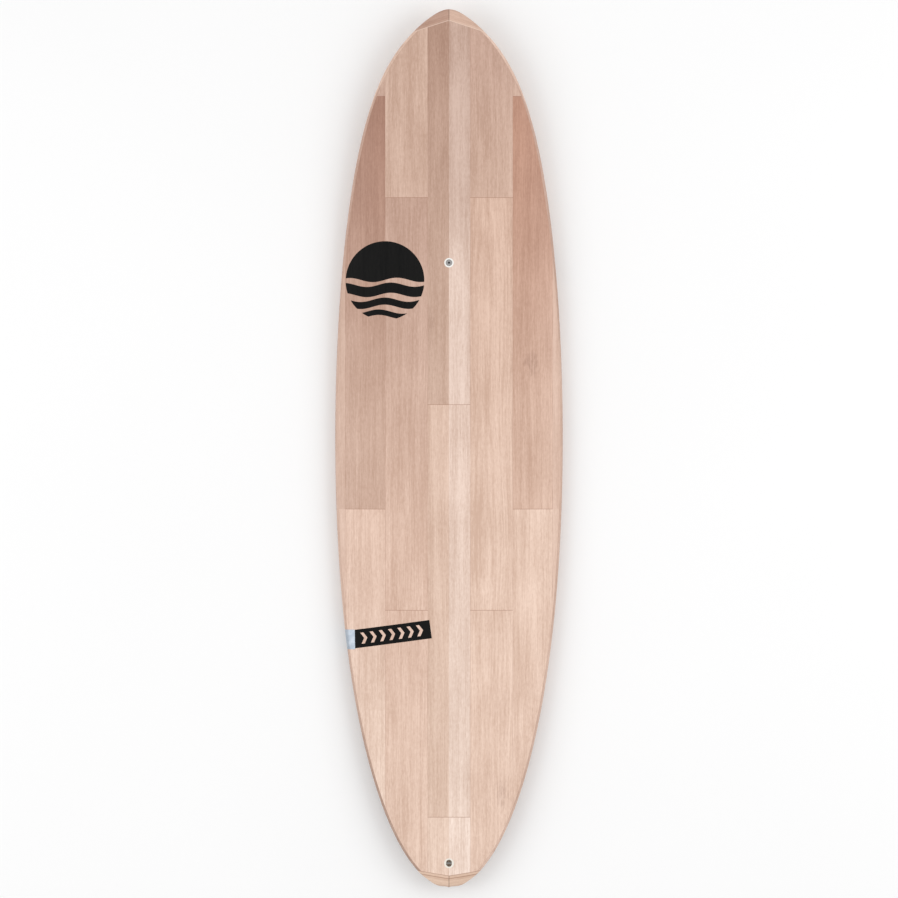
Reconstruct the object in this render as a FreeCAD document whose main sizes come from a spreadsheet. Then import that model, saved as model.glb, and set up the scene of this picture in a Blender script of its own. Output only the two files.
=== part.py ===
import FreeCAD, Part
import Sketcher
import math
import os
from FreeCAD import Placement, Rotation, Vector

# A seven-foot surfboard with a timber sandwich skin: a foam core, two plank skins, laminated
# rails, mitred nose and tail blocks, six fin plugs, a leash cup and a vent.
# Frame: the board lies on its bottom. +Z is up out of the deck, +Y runs to the nose, +X is the
# right-hand side seen from above, and the origin is under the middle of the board.
# The shape functions below measure y from the tail tip; place_in_frame moves it to the frame.

doc = FreeCAD.newDocument("surfboard")
sheet = doc.addObject("Spreadsheet::Sheet", "Dimensions")

# Alias, value (mm or degrees unless the note says otherwise), note.
DIMENSIONS = [
    ("board_length", 2133.6, "seven feet, tail tip to nose tip"),
    ("half_width", 277.6, "outline: mean half width"),
    ("width_taper", -5.3, "outline: shifts width between tail and nose"),
    ("width_fullness", 26.1, "outline: fills out both ends"),
    ("width_skew", -19.0, "outline: moves the fullness towards the nose"),
    ("nose_pinch", 119.8, "outline: draws the last of the nose to a point"),
    ("pinch_power", 36.0, "outline: how late the pinch starts (no unit)"),
    ("tip_margin", 25.0, "distance from each tip over which the ends are rounded"),
    ("deck_height", 71.3, "thickness at the middle of the board"),
    ("deck_lift", 31.0, "rise of the deck line at the nose tip"),
    ("deck_lift_start", 500.0, "where the deck line starts to rise"),
    ("tail_rocker", 50.0, "rise of the bottom at the tail tip"),
    ("nose_rocker", 81.0, "rise of the bottom at the nose tip"),
    ("flat_start", 880.0, "tail end of the level part of the bottom"),
    ("flat_end", 1100.0, "nose end of the level part of the bottom"),
    ("tail_curve", 1.7, "power of the tail rocker curve (no unit)"),
    ("nose_curve", 2.2, "power of the nose rocker curve (no unit)"),
    ("deck_curve", 4.0, "power of the deck lift curve (no unit)"),
    ("deck_crown", 2.8, "power of the deck's cross curve (no unit)"),
    ("bottom_crown", 8.0, "power of the bottom's cross curve (no unit)"),
    ("apex_share", 0.5, "height of the rail's widest line, as a share of the thickness"),
    ("skin", 3.5, "thickness of the plank skins"),
    ("plank_width", 103.4, "width of one plank column"),
    ("plank_length", 1003.0, "length of a full plank"),
    ("centre_joint", 959.0, "first butt joint of the centre column, from the nose tip"),
    ("inner_joint", 456.0, "first butt joint of the inner columns, from the nose tip"),
    ("outer_joint", 210.0, "first butt joint of the outer columns, from the nose tip"),
    ("rail_width", 20.0, "width of each rail, both strips"),
    ("strip_thickness", 4.6, "thickness of the outer rail strip"),
    ("deck_skin_edge", 6.0, "gap from the outline to the edge of the deck planks"),
    ("bottom_skin_edge", 12.0, "gap from the outline to the edge of the bottom planks"),
    ("nose_block_depth", 28.5, "nose block on the centreline"),
    ("nose_block_angle", 17.4, "sweep of the nose block's joint"),
    ("tail_block_depth", 29.5, "tail block on the centreline"),
    ("tail_block_angle", 8.8, "sweep of the tail block's joint"),
    ("side_fin_x", 164.0, "side fin pairs from the centreline"),
    ("side_fin_y", 358.5, "middle of the side fin pairs from the tail tip"),
    ("side_fin_toe", 2.6, "toe-in of the side fin pairs"),
    ("side_block_shift", 4.0, "side fin block ahead of the middle of its plugs"),
    ("centre_fin_y", 158.0, "middle of the centre fin pair from the tail tip"),
    ("centre_block_shift", 7.0, "centre fin block ahead of the middle of its plugs"),
    ("fin_spacing", 53.5, "distance between the two plugs of a pair"),
    ("block_length", 139.0, "oval fin block, length"),
    ("block_width", 45.0, "oval fin block, width"),
    ("block_depth", 24.0, "oval fin block, depth into the board"),
    ("plug_radius", 14.0, "fin plug"),
    ("plug_depth", 18.0, "fin plug, depth into its block"),
    ("slot_width", 6.2, "fin tab slot, width"),
    ("slot_length", 21.0, "fin tab slot, length over its round ends"),
    ("slot_depth", 14.0, "fin tab slot, depth"),
    ("grub_radius", 2.0, "grub screw"),
    ("grub_length", 4.5, "grub screw, length"),
    ("grub_offset", 9.6, "where the grub screw's axis meets the plug's face"),
    ("grub_tilt", 45.0, "lean of the grub screw's axis"),
    ("grub_sink", 2.2, "grub screw's outer end below the plug's face, along its axis"),
    ("grub_key", 2.0, "hexagon key of the grub screw, across flats"),
    ("running_gap", 0.05, "radial clearance of the screws in their holes"),
    ("leash_y", 59.6, "leash cup from the tail tip"),
    ("leash_flange_radius", 12.0, "leash cup, rim"),
    ("leash_flange_depth", 3.0, "leash cup, rim thickness"),
    ("leash_body_radius", 10.6, "leash cup below its rim"),
    ("leash_depth", 17.0, "leash cup, depth"),
    ("leash_mouth_width", 14.0, "leash cup mouth, across the board"),
    ("leash_mouth_length", 17.0, "leash cup mouth, along the board"),
    ("leash_mouth_depth", 14.5, "leash cup, inside depth"),
    ("pin_radius", 2.5, "leash pin"),
    ("pin_sink", 5.0, "leash pin's axis below the rim"),
    ("pin_end_gap", 1.0, "wall of the cup's body left at each end of the pin"),
    ("vent_y", 1519.5, "vent from the tail tip"),
    ("vent_flange_radius", 11.5, "vent housing, rim"),
    ("vent_flange_depth", 3.0, "vent housing, rim thickness"),
    ("vent_body_radius", 9.5, "vent housing below its rim"),
    ("vent_depth", 19.0, "vent housing, depth"),
    ("vent_seat_radius", 8.0, "vent housing, seat of the screw's head"),
    ("vent_seat_depth", 5.0, "vent housing, depth of that seat"),
    ("vent_bore_radius", 4.05, "vent housing, bore of the screw"),
    ("vent_bore_depth", 16.0, "vent housing, depth of the bore"),
    ("vent_hole_radius", 1.5, "vent housing, air hole"),
    ("vent_head_radius", 7.7, "vent screw, head"),
    ("vent_head_sink", 0.2, "vent screw, head below the rim"),
    ("vent_head_depth", 2.8, "vent screw, head thickness"),
    ("vent_shank_radius", 4.0, "vent screw, shank"),
    ("vent_screw_length", 14.0, "vent screw, tip below the rim"),
    ("vent_key", 5.0, "hexagon key of the vent screw, across flats"),
    ("vent_key_depth", 2.0, "vent screw, depth of its hexagon socket"),
    ("seal_ring_radius", 5.1, "O-ring, middle radius"),
    ("seal_radius", 0.9, "O-ring, radius of its section"),
    ("seal_sink", 3.95, "O-ring below the rim"),
    ("reach", 320.0, "half width of the cutting blocks, clear of the board"),
    ("tall", 260.0, "height of the cutting blocks, clear of the board"),
    ("tool_foot", 65.0, "how far the cutting blocks start below the board"),
    ("overshoot", 10.0, "how far a cutting tool passes the surface it cuts through"),
]

for row, (alias, value, note) in enumerate(DIMENSIONS, start=1):
    sheet.set("A%d" % row, note)
    sheet.set("B%d" % row, str(value))
    sheet.setAlias("B%d" % row, alias)
doc.recompute()

OUTLINE_STEPS = 40
ROLL_STEPS = 24
TURN_STEP = 1e-3
SLOPE_STEP = 2.0
NODES = {}


def size(alias):
    """The value of one cell of the sheet."""
    return float(getattr(sheet, alias))


def bind(item, **properties):
    """Ties properties of a document object to expressions of the sheet's aliases."""
    for name, expression in properties.items():
        item.setExpression(name.replace("__", "."), expression)


def cell(alias):
    return "Dimensions." + alias


def export_as(item, node):
    """Names a finished sub-part and marks it to be written."""
    item.Label = node
    NODES[node] = item
    return item


# ---------------------------------------------------------------- the board's shape

LENGTH = size("board_length")


def bottom_line(y):
    """Height of the bottom on the centreline."""
    if y < size("flat_start"):
        share = (size("flat_start") - y) / size("flat_start")
        return size("tail_rocker") * share ** size("tail_curve")
    if y > size("flat_end"):
        share = (y - size("flat_end")) / (LENGTH - size("flat_end"))
        return size("nose_rocker") * share ** size("nose_curve")
    return 0.0


def deck_line(y):
    """Height of the deck on the centreline."""
    share = (y - size("deck_lift_start")) / (LENGTH - size("deck_lift_start"))
    return size("deck_height") + size("deck_lift") * max(0.0, share) ** size("deck_curve")


def outline_point(turn):
    """Point of the right-hand outline: turn runs from 0 at the tail tip to pi at the nose tip."""
    swing = math.cos(turn)
    y = LENGTH * (1 - swing) / 2
    spread = size("half_width") + size("width_taper") * swing + size("width_fullness") * swing ** 2
    spread += size("width_skew") * swing ** 3
    spread -= size("nose_pinch") * (y / LENGTH) ** size("pinch_power")
    return Vector(math.sin(turn) * spread, y, 0)


def inset_point(turn, inset):
    """The outline moved inwards, square to itself."""
    along = outline_point(turn + TURN_STEP) - outline_point(turn - TURN_STEP)
    inwards = Vector(-along.y, along.x, 0)
    inwards.normalize()
    return outline_point(turn) + inwards * inset


def skin_point(turn, roll):
    """Point of the outer surface: roll runs from 0 on the deck's centreline, round the rail,
    to pi on the bottom's centreline."""
    edge = outline_point(turn)
    spine = size("tip_margin") + edge.y * (1 - 2 * size("tip_margin") / LENGTH)
    share = math.sin(roll)
    y = spine + (edge.y - spine) * share
    bottom = bottom_line(y)
    deck = deck_line(y)
    apex = bottom + size("apex_share") * (deck - bottom)
    if roll < math.pi / 2:
        z = apex + (deck - apex) * math.sqrt(max(0.0, 1 - share ** size("deck_crown")))
    else:
        z = apex - (apex - bottom) * math.sqrt(max(0.0, 1 - share ** size("bottom_crown")))
    return Vector(edge.x * share, y, z)


def place_in_frame(shape):
    """Moves a shape drawn from the tail tip so that the origin is under the board's middle."""
    shape.translate(Vector(0, -LENGTH / 2, 0))
    return shape


def board_solid():
    """The whole outer form, sewn from a right half and its mirror image."""
    grid = []
    for step in range(OUTLINE_STEPS + 1):
        turn = math.pi * step / OUTLINE_STEPS
        grid.append([skin_point(turn, math.pi * k / ROLL_STEPS) for k in range(ROLL_STEPS + 1)])
        for point in (grid[-1][0], grid[-1][-1]):
            point.x = 0.0
    for point in grid[0] + grid[-1]:
        point.x = 0.0
    surface = Part.BSplineSurface()
    surface.interpolate(grid)
    right = surface.toShape()
    left = right.mirror(Vector(0, 0, 0), Vector(1, 0, 0))
    shell = Part.Shell([right, left])
    shell.sewShape()
    solid = Part.Solid(shell)
    if solid.Volume < 0:
        solid.reverse()
    return place_in_frame(solid)


def outline_block(inset):
    """A tall block with the board's outline, moved inwards by inset, from a left half and its
    mirror image."""
    turns = [math.pi * step / OUTLINE_STEPS for step in range(1, OUTLINE_STEPS)]
    right = [inset_point(turn, inset) for turn in turns]
    left = [Vector(-point.x, point.y, 0) for point in reversed(right)]
    tail = Vector(0, inset, 0)
    nose = Vector(0, LENGTH - inset, 0)
    curve = Part.BSplineCurve()
    curve.interpolate(Points=[nose] + left + [tail])
    half = Part.Face(Part.Wire([curve.toShape(), Part.makeLine(tail, nose)]))
    halves = []
    for face in (half, half.mirror(Vector(0, 0, 0), Vector(1, 0, 0))):
        face.translate(Vector(0, 0, -size("tool_foot")))
        halves.append(face.extrude(Vector(0, 0, size("tall"))))
    return place_in_frame(halves[0].fuse(halves[1]).removeSplitter())


def plan_block(corners):
    """A tall block over a polygon of plan points."""
    points = [Vector(x, y, -size("tool_foot")) for x, y in corners]
    face = Part.Face(Part.makePolygon(points + [points[0]]))
    return place_in_frame(face.extrude(Vector(0, 0, size("tall"))))


def nose_joint(x):
    """Lengthwise place of the nose block's joint at a distance x from the centreline."""
    return LENGTH - size("nose_block_depth") - x * math.tan(math.radians(size("nose_block_angle")))


def tail_joint(x):
    return size("tail_block_depth") + x * math.tan(math.radians(size("tail_block_angle")))


def shape_feature(name, shape):
    """A document object that holds a free-form shape."""
    item = doc.addObject("Part::Feature", name)
    item.Shape = shape
    return item


def cut(name, base, tool):
    item = doc.addObject("Part::Cut", name)
    item.Base = base
    item.Tool = tool
    return item


def common(name, base, tool):
    item = doc.addObject("Part::Common", name)
    item.Base = base
    item.Tool = tool
    return item


def fuse(name, shapes):
    item = doc.addObject("Part::MultiFuse", name)
    item.Shapes = shapes
    return item


def block(name, **edges):
    """A box whose sides are expressions: low_x, size_x, low_y, size_y."""
    item = doc.addObject("Part::Box", name)
    bind(item, Length=edges["size_x"], Width=edges["size_y"], Height=cell("tall"))
    bind(item, Placement__Base__x=edges["low_x"], Placement__Base__y=edges["low_y"])
    bind(item, Placement__Base__z="-Dimensions.tool_foot")
    return item


board = shape_feature("board_form", board_solid())
reach = size("reach")
between = shape_feature("between_blocks", plan_block([
    (0, nose_joint(0)),
    (-reach, nose_joint(reach)),
    (-reach, tail_joint(reach)),
    (0, tail_joint(0)),
    (reach, tail_joint(reach)),
    (reach, nose_joint(reach)),
]))
middle = common("middle_form", board, between)
lowered = shape_feature("lowered_form", board.Shape.copy())
bind(lowered, Placement__Base__z="-Dimensions.skin")
raised = shape_feature("raised_form", board.Shape.copy())
bind(raised, Placement__Base__z=cell("skin"))
deck_zone = cut("deck_zone", shape_feature("deck_area", outline_block(size("deck_skin_edge"))), lowered)
bottom_zone = cut("bottom_zone", shape_feature("bottom_area", outline_block(size("bottom_skin_edge"))),
                  raised)
core_area = shape_feature("core_area", outline_block(size("rail_width")))
deck_skin = common("deck_skin", middle, deck_zone)
bottom_skin = common("bottom_skin", middle, bottom_zone)
doc.recompute()


# ---------------------------------------------------------------- where the fittings sit

def surface_at(x, y, outwards):
    """Point and outward normal of the board's surface: outwards is +1 on the deck, -1 below."""
    def height(px, py):
        line = Part.makeLine(Vector(px, py, -size("tall")), Vector(px, py, size("tall")))
        levels = [vertex.Z for vertex in board.Shape.common(line).Vertexes]
        return max(levels) if outwards > 0 else min(levels)
    slope_x = (height(x + SLOPE_STEP, y) - height(x - SLOPE_STEP, y)) / (2 * SLOPE_STEP)
    slope_y = (height(x, y + SLOPE_STEP) - height(x, y - SLOPE_STEP)) / (2 * SLOPE_STEP)
    normal = Vector(-slope_x, -slope_y, 1) * outwards
    normal.normalize()
    return Vector(x, y, height(x, y)), normal


def fin_seat(x, from_tail, toe):
    """Placement of a pair of fin fittings: local +Z leaves the bottom, local +Y runs forward."""
    point, normal = surface_at(x, from_tail - LENGTH / 2, -1)
    lengthwise = Vector(math.sin(math.radians(toe)), math.cos(math.radians(toe)), 0)
    return Placement(point, Rotation(Vector(), lengthwise, normal, "ZYX"))


def deck_seat(from_tail):
    """Placement of a deck fitting on the centreline, upright."""
    point = surface_at(0, from_tail - LENGTH / 2, 1)[0]
    return Placement(point, Rotation())


# Name of the pair, x, middle from the tail tip, toe angle, half turns of the front and rear
# plug, and how far ahead of that middle the block sits. The side pairs have their screws inboard.
side_x = size("side_fin_x")
side_y = size("side_fin_y")
FIN_PAIRS = [
    ("right", side_x, side_y, -size("side_fin_toe"), (0, 0), size("side_block_shift")),
    ("left", -side_x, side_y, size("side_fin_toe"), (180, 180), size("side_block_shift")),
    ("centre", 0.0, size("centre_fin_y"), 0.0, (0, 180), size("centre_block_shift")),
]


# ---------------------------------------------------------------- sketch helpers

def origin_plane(body, role):
    return next(item for item in body.Origin.OriginFeatures if item.Role == role)


def new_sketch(body, name, role="XY_Plane"):
    sketch = body.newObject("Sketcher::SketchObject", name)
    sketch.AttachmentSupport = (origin_plane(body, role), [""])
    sketch.MapMode = "FlatFace"
    return sketch


def circle_sketch(body, name, radius):
    """A circle on the origin, with its radius tied to a cell."""
    sketch = new_sketch(body, name)
    sketch.addGeometry(Part.Circle(Vector(), Vector(0, 0, 1), size(radius)), False)
    sketch.addConstraint(Sketcher.Constraint("Coincident", 0, 3, -1, 1))
    sketch.addConstraint(Sketcher.Constraint("Radius", 0, size(radius)))
    sketch.setExpression("Constraints[1]", cell(radius))
    return sketch


def slot_sketch(body, name, length, width):
    """A slot with round ends, along Y, centred on the origin."""
    sketch = new_sketch(body, name)
    radius = size(width) / 2
    straight = size(length) / 2 - radius
    top = Vector(0, straight, 0)
    foot = Vector(0, -straight, 0)
    up = Vector(0, 0, 1)
    sketch.addGeometry(Part.ArcOfCircle(Part.Circle(top, up, radius), 0, math.pi), False)
    sketch.addGeometry(Part.LineSegment(Vector(-radius, straight, 0), Vector(-radius, -straight, 0)), False)
    sketch.addGeometry(Part.ArcOfCircle(Part.Circle(foot, up, radius), math.pi, 2 * math.pi), False)
    sketch.addGeometry(Part.LineSegment(Vector(radius, -straight, 0), Vector(radius, straight, 0)), False)
    for first, second in ((0, 1), (1, 2), (2, 3), (3, 0)):
        sketch.addConstraint(Sketcher.Constraint("Tangent", first, 2, second, 1))
    sketch.addConstraint(Sketcher.Constraint("Radius", 0, radius))
    sketch.setExpression("Constraints[4]", cell(width) + " / 2")
    sketch.addConstraint(Sketcher.Constraint("PointOnObject", 0, 3, -2))
    sketch.addConstraint(Sketcher.Constraint("PointOnObject", 2, 3, -2))
    sketch.addConstraint(Sketcher.Constraint("DistanceY", -1, 1, 0, 3, straight))
    sketch.setExpression("Constraints[7]", "(%s - %s) / 2" % (cell(length), cell(width)))
    sketch.addConstraint(Sketcher.Constraint("DistanceY", 2, 3, -1, 1, straight))
    sketch.setExpression("Constraints[8]", "(%s - %s) / 2" % (cell(length), cell(width)))
    return sketch


def step_down(body, kind, name, sketch, depth):
    """A Pad or Pocket from the face at z = 0 down into the board."""
    feature = body.newObject("PartDesign::" + kind, name)
    feature.Profile = sketch
    feature.Reversed = kind == "Pad"
    bind(feature, Length=cell(depth))
    body.Tip = feature
    doc.recompute()
    return feature


def pocket(body, name, sketch, depth):
    """A Pocket that is checked to have taken material away."""
    before = body.Shape.Volume
    step_down(body, "Pocket", name, sketch, depth)
    if body.Shape.Volume > before - 1.0:
        raise RuntimeError(name + " cut nothing")


def cylinder(name, radius, height, low_z=None):
    item = doc.addObject("Part::Cylinder", name)
    bind(item, Radius=radius, Height=height)
    bind(item, Placement__Base__z=low_z or "-(%s)" % height)
    return item


def hexagon(name, flats, height, low_z):
    """A six-sided socket tool, with its size across flats."""
    item = doc.addObject("Part::Prism", name)
    item.Polygon = 6
    bind(item, Circumradius="%s / sqrt(3)" % cell(flats), Height=height, Placement__Base__z=low_z)
    return item


# ---------------------------------------------------------------- fin fittings

def grub_axis():
    """Local placement of a grub screw: it leans from the plug's face in towards the slot."""
    start = Vector(size("grub_offset"), 0, 0)
    return Placement(start, Rotation(Vector(0, 1, 0), size("grub_tilt")))


def fin_plug(name, seat):
    """A round plug with a slot for the fin's tab and a leaning hole for its grub screw."""
    body = doc.addObject("PartDesign::Body", name + "_body")
    step_down(body, "Pad", name + "_round", circle_sketch(body, name + "_edge", "plug_radius"),
              "plug_depth")
    pocket(body, name + "_slot", slot_sketch(body, name + "_mouth", "slot_length", "slot_width"),
           "slot_depth")
    hole = doc.addObject("Part::Cylinder", name + "_hole")
    bind(hole, Radius="Dimensions.grub_radius + Dimensions.running_gap")
    bind(hole, Height="2 * Dimensions.grub_offset / sin(Dimensions.grub_tilt)")
    to_slot = size("grub_offset") / math.sin(math.radians(size("grub_tilt")))
    hole.Placement = grub_axis().multiply(Placement(Vector(0, 0, -to_slot), Rotation()))
    plug = cut(name, body, hole)
    plug.Placement = seat
    return export_as(plug, name)


def grub_screw(name, seat):
    """A short hollow-ended screw that clamps the fin's tab."""
    shank = cylinder(name + "_shank", cell("grub_radius"), cell("grub_length"))
    key = hexagon(name + "_key", "grub_key", cell("grub_radius"), "-Dimensions.grub_radius")
    screw = cut(name, shank, key)
    sunk = Placement(Vector(0, 0, -size("grub_sink")), Rotation())
    screw.Placement = seat.multiply(grub_axis()).multiply(sunk)
    return export_as(screw, name)


def oval_tool(name, seat, shift):
    """The oval recess of one fin block, from its floor down past the board's skin."""
    oval = doc.addObject("Part::Ellipse", name + "_oval")
    bind(oval, MajorRadius="Dimensions.block_length / 2", MinorRadius="Dimensions.block_width / 2")
    # The block's length runs along the fitting's local Y.
    oval.Placement = Placement(Vector(0, shift, -size("block_depth")), Rotation(Vector(0, 0, 1), 90))
    tool = doc.addObject("Part::Extrusion", name + "_recess")
    tool.Base = oval
    tool.DirMode = "Custom"
    tool.Dir = Vector(0, 0, 1)
    tool.Solid = True
    bind(tool, LengthFwd="Dimensions.block_depth + Dimensions.overshoot")
    tool.Placement = seat
    return tool


recesses = []
plug_tools = {}
for pair, x, from_tail, toe, half_turns, shift in FIN_PAIRS:
    middle_seat = fin_seat(x, from_tail, toe)
    recess = oval_tool("fin_block_" + pair, middle_seat, shift)
    recesses.append(recess)
    wells = []
    for end, way, half_turn in (("front", 0.5, half_turns[0]), ("rear", -0.5, half_turns[1])):
        name = "fin_plug_%s_%s" % (pair, end)
        offset = Vector(0, way * size("fin_spacing"), 0)
        seat = middle_seat.multiply(Placement(offset, Rotation(Vector(0, 0, 1), half_turn)))
        fin_plug(name, seat)
        grub_screw("grub_screw_%s_%s" % (pair, end), seat)
        well = doc.addObject("Part::Cylinder", name + "_well")
        bind(well, Radius=cell("plug_radius"), Height="Dimensions.plug_depth + Dimensions.overshoot")
        well.Placement = seat.multiply(Placement(Vector(0, 0, -size("plug_depth")), Rotation()))
        wells.append(well)
    solid_block = common("fin_block_" + pair + "_whole", board, recess)
    export_as(cut("fin_block_" + pair, solid_block, fuse("fin_wells_" + pair, wells)), "fin_block_" + pair)
doc.recompute()


# ---------------------------------------------------------------- leash cup

leash_seat = deck_seat(size("leash_y"))


def stepped_tool(name, seat, rim_radius, rim_depth, body_radius, depth):
    """The outer form of a fitting with a rim, used to let it into the deck."""
    rim_height = "%s + Dimensions.overshoot" % cell(rim_depth)
    rim = cylinder(name + "_rim", cell(rim_radius), rim_height, "-" + cell(rim_depth))
    barrel = cylinder(name + "_barrel", cell(body_radius), cell(depth))
    tool = fuse(name, [rim, barrel])
    tool.Placement = seat
    return tool


def leash_cup():
    body = doc.addObject("PartDesign::Body", "leash_cup_body")
    step_down(body, "Pad", "leash_barrel", circle_sketch(body, "leash_barrel_edge", "leash_body_radius"),
              "leash_depth")
    step_down(body, "Pad", "leash_rim", circle_sketch(body, "leash_rim_edge", "leash_flange_radius"),
              "leash_flange_depth")
    pocket(body, "leash_mouth",
           slot_sketch(body, "leash_mouth_edge", "leash_mouth_length", "leash_mouth_width"),
           "leash_mouth_depth")
    cup = cut("leash_cup", body, pin_rod("leash_pin_hole"))
    cup.Placement = leash_seat
    return export_as(cup, "leash_cup")


def pin_rod(name):
    """The pin across the cup, as long as the cup's body is wide less a little at each end."""
    rod = doc.addObject("Part::Cylinder", name)
    bind(rod, Radius=cell("pin_radius"))
    bind(rod, Height="2 * (Dimensions.leash_body_radius - Dimensions.pin_end_gap)")
    start = Vector(size("pin_end_gap") - size("leash_body_radius"), 0, -size("pin_sink"))
    rod.Placement = Placement(start, Rotation(Vector(0, 1, 0), 90))
    return rod


leash_cup()
leash_pin = pin_rod("leash_pin")
leash_pin.Placement = leash_seat.multiply(leash_pin.Placement)
export_as(leash_pin, "leash_pin")
leash_tool = stepped_tool("leash_tool", leash_seat, "leash_flange_radius", "leash_flange_depth",
                          "leash_body_radius", "leash_depth")


# ---------------------------------------------------------------- vent

vent_seat = deck_seat(size("vent_y"))


def vent_housing():
    body = doc.addObject("PartDesign::Body", "vent_housing_body")
    step_down(body, "Pad", "vent_barrel", circle_sketch(body, "vent_barrel_edge", "vent_body_radius"),
              "vent_depth")
    step_down(body, "Pad", "vent_rim", circle_sketch(body, "vent_rim_edge", "vent_flange_radius"),
              "vent_flange_depth")
    pocket(body, "vent_seat", circle_sketch(body, "vent_seat_edge", "vent_seat_radius"),
           "vent_seat_depth")
    pocket(body, "vent_bore", circle_sketch(body, "vent_bore_edge", "vent_bore_radius"),
           "vent_bore_depth")
    pocket(body, "vent_hole", circle_sketch(body, "vent_hole_edge", "vent_hole_radius"),
           "vent_depth")
    body.Placement = vent_seat
    return export_as(body, "vent_housing")


def vent_screw():
    head = cylinder("vent_head", cell("vent_head_radius"), cell("vent_head_depth"),
                    "-Dimensions.vent_head_sink - Dimensions.vent_head_depth")
    shank = cylinder("vent_shank", cell("vent_shank_radius"),
                     "Dimensions.vent_screw_length - Dimensions.vent_head_sink - Dimensions.vent_key_depth",
                     "-" + cell("vent_screw_length"))
    key = hexagon("vent_socket", "vent_key", "2 * Dimensions.vent_key_depth",
                  "-Dimensions.vent_head_sink - Dimensions.vent_key_depth")
    screw = cut("vent_screw", fuse("vent_screw_whole", [head, shank]), key)
    screw.Placement = vent_seat
    return export_as(screw, "vent_screw")


def vent_seal():
    ring = doc.addObject("Part::Torus", "vent_seal")
    bind(ring, Radius1=cell("seal_ring_radius"), Radius2=cell("seal_radius"))
    ring.Placement = vent_seat.multiply(Placement(Vector(0, 0, -size("seal_sink")), Rotation()))
    return export_as(ring, "vent_seal")


vent_housing()
vent_screw()
vent_seal()
vent_tool = stepped_tool("vent_tool", vent_seat, "vent_flange_radius", "vent_flange_depth",
                         "vent_body_radius", "vent_depth")


# ---------------------------------------------------------------- planks

def columns():
    """Name, low edge and width of each plank column, as expressions of x."""
    width = cell("plank_width")
    reach_out = "(%s - 1.5 * %s)" % (cell("reach"), width)
    return [
        ("outer_left", "-" + cell("reach"), reach_out, "outer_joint"),
        ("inner_left", "-1.5 * " + width, width, "inner_joint"),
        ("centre", "-0.5 * " + width, width, "centre_joint"),
        ("inner_right", "0.5 * " + width, width, "inner_joint"),
        ("outer_right", "1.5 * " + width, reach_out, "outer_joint"),
    ]


def rows(joint):
    """Name, low end and length of the three planks of a column, as expressions of y."""
    front = "(Dimensions.board_length / 2 - %s)" % cell(joint)
    rear = "(%s - %s)" % (front, cell("plank_length"))
    tail_end = "(-Dimensions.board_length / 2 - Dimensions.overshoot)"
    nose_end = "Dimensions.board_length / 2 + Dimensions.overshoot"
    return [
        ("nose", front, "%s - %s" % (nose_end, front)),
        ("middle", rear, cell("plank_length")),
        ("tail", tail_end, "%s - %s" % (rear, tail_end)),
    ]


def planks(side, skin, tools):
    """Cuts one skin into its planks; tools maps a plank's place to what is let into it."""
    for column, low_x, size_x, joint in columns():
        for place, low_y, size_y in rows(joint):
            name = "%s_plank_%s_%s" % (side, column, place)
            area = block(name + "_area", low_x=low_x, size_x=size_x, low_y=low_y, size_y=size_y)
            plank = common(name, skin, area)
            let_in = tools.get((column, place), [])
            for number, tool in enumerate(let_in, start=1):
                plank = cut("%s_with_hole_%d" % (name, number), plank, tool)
            export_as(plank, name)


recess_right, recess_left, recess_centre = recesses
planks("deck", deck_skin, {
    ("centre", "nose"): [vent_tool],
    ("centre", "tail"): [leash_tool],
})
planks("bottom", bottom_skin, {
    ("outer_right", "tail"): [recess_right],
    ("inner_right", "tail"): [recess_right],
    ("outer_left", "tail"): [recess_left],
    ("inner_left", "tail"): [recess_left],
    ("centre", "middle"): [recess_centre],
    ("centre", "tail"): [recess_centre],
})


# ---------------------------------------------------------------- core, rails and end blocks

core_top = common("core_top", common("core_plan", between, core_area), lowered)
core_whole = common("core_whole", core_top, raised)
pockets = fuse("core_pockets", recesses + [leash_tool, vent_tool])
export_as(cut("foam_core", core_whole, pockets), "foam_core")

strip_area = shape_feature("strip_area", outline_block(size("strip_thickness")))
outer_ring = cut("outer_ring", middle, strip_area)
inner_ring = cut("inner_ring", common("inside_strip", middle, strip_area), core_area)
inner_ring = cut("inner_ring_under_deck", inner_ring, deck_zone)
inner_ring = cut("inner_ring_under_both", inner_ring, bottom_zone)
inner_ring = cut("inner_ring_round_fins", inner_ring, fuse("side_recesses", [recess_right, recess_left]))
for side, low_x in (("left", "-" + cell("reach")), ("right", "0")):
    for layer, ring in (("inner", inner_ring), ("outer", outer_ring)):
        name = "rail_%s_%s" % (side, layer)
        half = block(name + "_half", low_x=low_x, size_x=cell("reach"),
                     low_y="-Dimensions.board_length", size_y="2 * Dimensions.board_length")
        export_as(common(name, ring, half), name)

nose_end = LENGTH + size("overshoot")
tail_end = -size("overshoot")
for side, way in (("left", -1), ("right", 1)):
    nose_area = plan_block([
        (0, nose_joint(0)),
        (way * reach, nose_joint(reach)),
        (way * reach, nose_end),
        (0, nose_end),
    ])
    tail_area = plan_block([
        (0, tail_joint(0)),
        (way * reach, tail_joint(reach)),
        (way * reach, tail_end),
        (0, tail_end),
    ])
    for end, area in (("nose", nose_area), ("tail", tail_area)):
        name = "%s_block_%s" % (end, side)
        export_as(common(name, board, shape_feature(name + "_area", area)), name)

doc.recompute()


# ---------------------------------------------------------------- checks and files

for item in doc.Objects:
    if "Invalid" in item.State or "Error" in item.State:
        raise RuntimeError("%s failed: %s" % (item.Label, item.State))

os.makedirs("parts", exist_ok=True)
for node, item in NODES.items():
    shape = item.Shape
    if shape.isNull() or not shape.isValid() or len(shape.Solids) != 1 or shape.Volume <= 0:
        raise RuntimeError("%s is not one valid solid: %d solids" % (node, len(shape.Solids)))
for node, item in NODES.items():
    item.Shape.exportStep("parts/%s.step" % node)
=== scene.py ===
import math

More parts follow.
